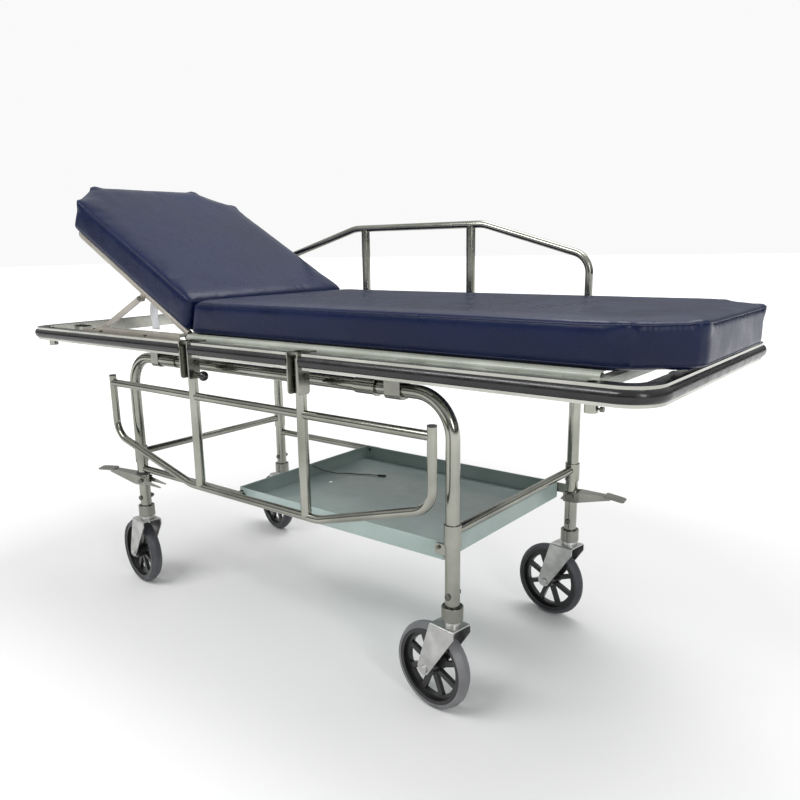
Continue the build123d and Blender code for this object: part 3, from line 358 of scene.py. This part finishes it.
def mesh_from(bm, name, smooth=True):
    bmesh.ops.recalc_face_normals(bm, faces=bm.faces)
    mesh = bpy.data.meshes.new(name)
    bm.to_mesh(mesh)
    bm.free()
    for polygon in mesh.polygons:
        polygon.use_smooth = smooth
    return mesh


def evaluated_mesh(piece):
    graph = bpy.context.evaluated_depsgraph_get()
    return bpy.data.meshes.new_from_object(piece.evaluated_get(graph))


def apply_modifiers(piece):
    mesh = evaluated_mesh(piece)
    piece.modifiers.clear()
    piece.data = mesh


# ---------------------------------------------------------------- upholstery
PAD_VOXEL = 0.0075
PAD_SWELL = 0.006
PAD_INSET = -0.003
PAD_RISE = 0.003
PAD_BODY_GAP = 0.0005
PAD_HINGE_GAP = 0.0015
SLOPE_REACH = 0.09
BACK_PAD_LOW, BACK_PAD_HIGH = 0.0095, 0.0905
SIDE_BEVEL, TOP_BEVEL = 0.010, 0.005
SEAM_RADIUS = 0.0014
SEAM_CLEARANCE = 0.004
SEAM_LIFT = 0.004
SWELL_FRAMES = 20


def pad_base(outline, low, high, shrink):
    """Slab over a plan outline, each corner moved inwards by the shrink distance."""
    bm = bmesh.new()
    centre = sum((Vector((x, y, 0)) for x, y in outline), Vector()) / len(outline)
    bottom = []
    for x, y in outline:
        inward = centre - Vector((x, y, 0))
        inward = Vector((inward.x / abs(inward.x), inward.y / abs(inward.y), 0)) * shrink
        bottom.append(bm.verts.new((x + inward.x, y + inward.y, low)))
    face = bm.faces.new(bottom)
    extruded = bmesh.ops.extrude_face_region(bm, geom=[face])
    for item in extruded["geom"]:
        if isinstance(item, bmesh.types.BMVert):
            item.co.z = high
    bmesh.ops.recalc_face_normals(bm, faces=bm.faces)
    return bm


def swell(piece):
    """Inflates the cover by cloth simulation and caps how far any point moves."""
    remesh = piece.modifiers.new("remesh", "REMESH")
    remesh.mode = "VOXEL"
    remesh.voxel_size = PAD_VOXEL
    apply_modifiers(piece)
    before = [vertex.co.copy() for vertex in piece.data.vertices]
    cloth = piece.modifiers.new("cloth", "CLOTH")
    cloth.settings.use_pressure = True
    cloth.settings.uniform_pressure_force = 4.0
    cloth.settings.quality = 4
    cloth.settings.tension_stiffness = 25
    cloth.settings.compression_stiffness = 25
    cloth.settings.effector_weights.gravity = 0
    cloth.collision_settings.use_collision = False
    scene = bpy.context.scene
    for number in range(1, SWELL_FRAMES + 1):
        scene.frame_set(number)
    mesh = evaluated_mesh(piece)
    after = [vertex.co.copy() for vertex in mesh.vertices]
    piece.modifiers.clear()
    scene.frame_set(1)
    for vertex, start, end in zip(piece.data.vertices, before, after):
        move = end - start
        if move.length > PAD_SWELL:
            move *= PAD_SWELL / move.length
        vertex.co = start + move


def finish_pad(piece):
    """Light relaxing, one subdivision and smooth shading."""
    smooth = piece.modifiers.new("relax", "SMOOTH")
    smooth.factor = 0.5
    smooth.iterations = 3
    division = piece.modifiers.new("divide", "SUBSURF")
    division.levels = division.render_levels = 1
    apply_modifiers(piece)
    for polygon in piece.data.polygons:
        polygon.use_smooth = True


def pinch_corners(piece, outline, high):
    """Pulls the cover out and up into small gathers where its sewn corners meet the top."""
    reach, out, lift = 0.034, 0.009, 0.006
    corners = [Vector((x, y, high)) for x, y in outline if abs(x - HINGE.x) > 0.1]
    for vertex in piece.data.vertices:
        for corner in corners:
            near = 1 - (vertex.co - corner).length / reach
            if near > 0:
                ease = near * near * (3 - 2 * near)
                side = Vector((0, corner.y, 0)).normalized()
                along = Vector((corner.x - HINGE.x, 0, 0)).normalized()
                vertex.co += (side + along).normalized() * out * ease + Vector((0, 0, lift * ease))


def slope_end(base, slope, direction):
    """Shears the end nearest the hinge so that it lies on the fold plane."""
    for vertex in base.verts:
        along = direction * (vertex.co.x - HINGE.x)
        if along < SLOPE_REACH:
            rise = vertex.co.z - HINGE.z
            vertex.co.x = HINGE.x + direction * (PAD_HINGE_GAP + rise * slope)


def welt(name, points, pad, placing=None):
    """Stitched edge seam: a fine raised roll pressed into the cover along a line."""
    tree = BVHTree.FromObject(pad, bpy.context.evaluated_depsgraph_get())
    line = []
    for point in points:
        place = placing @ Vector(point) if placing else Vector(point)
        line.append(tree.find_nearest(place)[0])
    curve = bpy.data.curves.new(name + "_line", "CURVE")
    curve.dimensions = "3D"
    curve.bevel_depth = SEAM_RADIUS
    curve.bevel_resolution = 2
    spline = curve.splines.new("POLY")
    spline.points.add(len(line) - 1)
    for target, place in zip(spline.points, line):
        target.co = (*place, 1)
    spline.use_cyclic_u = True
    guide = bpy.data.objects.new(name + "_guide", curve)
    bpy.context.scene.collection.objects.link(guide)
    bpy.context.view_layer.update()
    mesh = evaluated_mesh(guide)
    bpy.data.objects.remove(guide)
    mesh.materials.clear()
    return new_piece(name, mesh, "navy_vinyl")


def outline_points(outline, z, step=0.012):
    """Points along a plan outline at an even spacing."""
    points = []
    for (x0, y0), (x1, y1) in zip(outline, outline[1:] + outline[:1]):
        length = Vector((x1 - x0, y1 - y0)).length
        count = max(1, round(length / step))
        for index in range(count):
            share = index / count
            points.append((x0 + (x1 - x0) * share, y0 + (y1 - y0) * share, z))
    return points


def round_outline(outline, radius=0.012, steps=4):
    """Softens every corner of a plan outline with a short curve."""
    rounded = []
    count = len(outline)
    for index, corner in enumerate(outline):
        here = Vector(corner)
        before = (Vector(outline[index - 1]) - here).normalized()
        after = (Vector(outline[(index + 1) % count]) - here).normalized()
        for step in range(steps + 1):
            share = step / steps
            start, end = here + before * radius, here + after * radius
            bend = start.lerp(here, share).lerp(here.lerp(end, share), share)
            rounded.append(tuple(bend))
    return rounded


def upholstery():
    """Seat and backrest cushions that meet on the fold plane at rest."""
    slope = tan(TILT / 2)
    half = (SEAT_HIGH.y - SEAT_LOW.y) / 2
    foot_x = SEAT_HIGH.x
    hinge_gap = 0.002
    cut_x, cut_y = 0.109, 0.105
    seat_outline = [
        (HINGE.x + hinge_gap, -half), (foot_x - cut_x, -half), (foot_x, cut_y - half),
        (foot_x, half - cut_y), (foot_x - cut_x, half), (HINGE.x + hinge_gap, half),
    ]
    back_reach = 0.692
    cut_s, cut_w = 0.106, 0.110
    head_x = HINGE.x - back_reach
    back_outline = [
        (HINGE.x - hinge_gap, half), (head_x + cut_s, half), (head_x, half - cut_w),
        (head_x, cut_w - half), (head_x + cut_s, -half), (HINGE.x - hinge_gap, -half),
    ]
    turn = Matrix.Translation(HINGE) @ Matrix.Rotation(TILT, 4, "Y") @ Matrix.Translation(-HINGE)
    plans = (
        ("seat_cushion", "seat_mattress", seat_outline, SEAT_LOW.z, SEAT_HIGH.z, 1, None),
        ("backrest_cushion", "backrest_mattress", back_outline,
         HINGE.z + BACK_PAD_LOW, HINGE.z + BACK_PAD_HIGH, -1, turn),
    )
    for name, node, outline, low, high, direction, placing in plans:
        base = pad_base(outline, low + PAD_BODY_GAP, high + PAD_RISE, PAD_INSET)
        slope_end(base, slope, direction)
        vertical = [edge for edge in base.edges
                    if abs(edge.verts[0].co.z - edge.verts[1].co.z) > 0.03]
        bmesh.ops.bevel(base, geom=vertical, offset=SIDE_BEVEL, segments=3, affect="EDGES")
        top = [edge for edge in base.edges if min(vertex.co.z for vertex in edge.verts) > high - 0.012
               and any(abs(face.normal.z) < 0.5 for face in edge.link_faces)]
        bmesh.ops.bevel(base, geom=top, offset=TOP_BEVEL, segments=2, affect="EDGES")
        pad = new_piece(name, mesh_from(base, name), "navy_vinyl")
        swell(pad)
        finish_pad(pad)
        pinch_corners(pad, outline, high)
        if placing is not None:
            pad.data.transform(placing)
        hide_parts(node)
        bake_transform(pad)
        rim = round_outline(outline)
        for label, height in (("top", high), ("bottom", low + SEAM_LIFT)):
            shifted = []
            for x, y, z in outline_points(rim, height):
                limit = HINGE.x + direction * (SEAM_CLEARANCE + (z - HINGE.z) * slope)
                shifted.append((max(x, limit) if direction > 0 else min(x, limit), y, z))
            seam = welt(name + "_" + label + "_seam", shifted, pad, placing)
            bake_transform(seam)


# ---------------------------------------------------------------- tray lanyard
LANYARD_ROUTE = [
    (-0.1310, 0.0080, 0.3840), (-0.1275, 0.0190, 0.3770), (-0.1265, 0.0340, 0.3685),
    (-0.1260, 0.0490, 0.3600), (-0.1220, 0.0630, 0.3540), (-0.1100, 0.0700, 0.3523),
    (-0.0930, 0.0710, 0.3522), (-0.0770, 0.0820, 0.3522), (-0.0590, 0.0930, 0.3522),
    (-0.0390, 0.0970, 0.3522), (-0.0230, 0.1080, 0.3522), (-0.0060, 0.1160, 0.3528),
    (0.0100, 0.1170, 0.3533), (0.0220, 0.1220, 0.3533),
]


def lanyard():
    """Thin cord from the tray's head rim to its loose toggle."""
    curve = bpy.data.curves.new("lanyard", "CURVE")
    curve.dimensions = "3D"
    curve.bevel_depth = 0.0015
    curve.bevel_resolution = 4
    curve.resolution_u = 8
    spline = curve.splines.new("NURBS")
    spline.points.add(len(LANYARD_ROUTE) - 1)
    for target, (x, y, z) in zip(spline.points, LANYARD_ROUTE):
        target.co = (x + SHIFT, y, z, 1)
    spline.order_u = 3
    spline.use_endpoint_u = True
    cord = new_piece("lanyard", curve, "lanyard_fibre", "root")
    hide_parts("tray_lanyard")
    x, y, z = LANYARD_ROUTE[0]


# ---------------------------------------------------------------- tag on the backrest tube
TAG_ALONG = 0.204
TAG_Y = -0.2520
TAG_DROP = 0.003
TAG_LEAN = 0.026
TAG_OFFSET = 0.002


def tag():
    """Blank tag that hangs below the near side of the backrest, with a slight curl."""
    width, length = 0.044, 0.088
    hang = HINGE + Vector((-TAG_ALONG * cos(TILT), TAG_Y - HINGE.y, TAG_ALONG * sin(TILT) - TAG_DROP))
    columns, rows = 10, 18
    bm = bmesh.new()
    grid = []
    for row in range(rows + 1):
        down = row / rows
        line = []
        for column in range(columns + 1):
            side = column / columns - 0.5
            taper = 0.96 + 0.04 * cos(3 * down)
            bow = 0.016 * sin(1.4 * down * pi) * 0.6
            x = hang.x + side * width * taper - bow
            curl = 0.003 * sin(pi * (side + 0.5)) + 0.004 * sin(2.2 * down) * side
            y = hang.y - TAG_OFFSET - curl
            line.append(bm.verts.new((x - TAG_LEAN * down, y, hang.z - down * length)))
        grid.append(line)
    for upper, lower in zip(grid, grid[1:]):
        for left in range(columns):
            bm.faces.new((upper[left], upper[left + 1], lower[left + 1], lower[left]))
    piece = new_piece("blank_tag", mesh_from(bm, "blank_tag"), "tag_stock", "backrest")
    thick = piece.modifiers.new("thickness", "SOLIDIFY")
    thick.thickness = 0.0004


place_camera()
dress_cad_nodes()
studio()
lanyard()
upholstery()
tag()
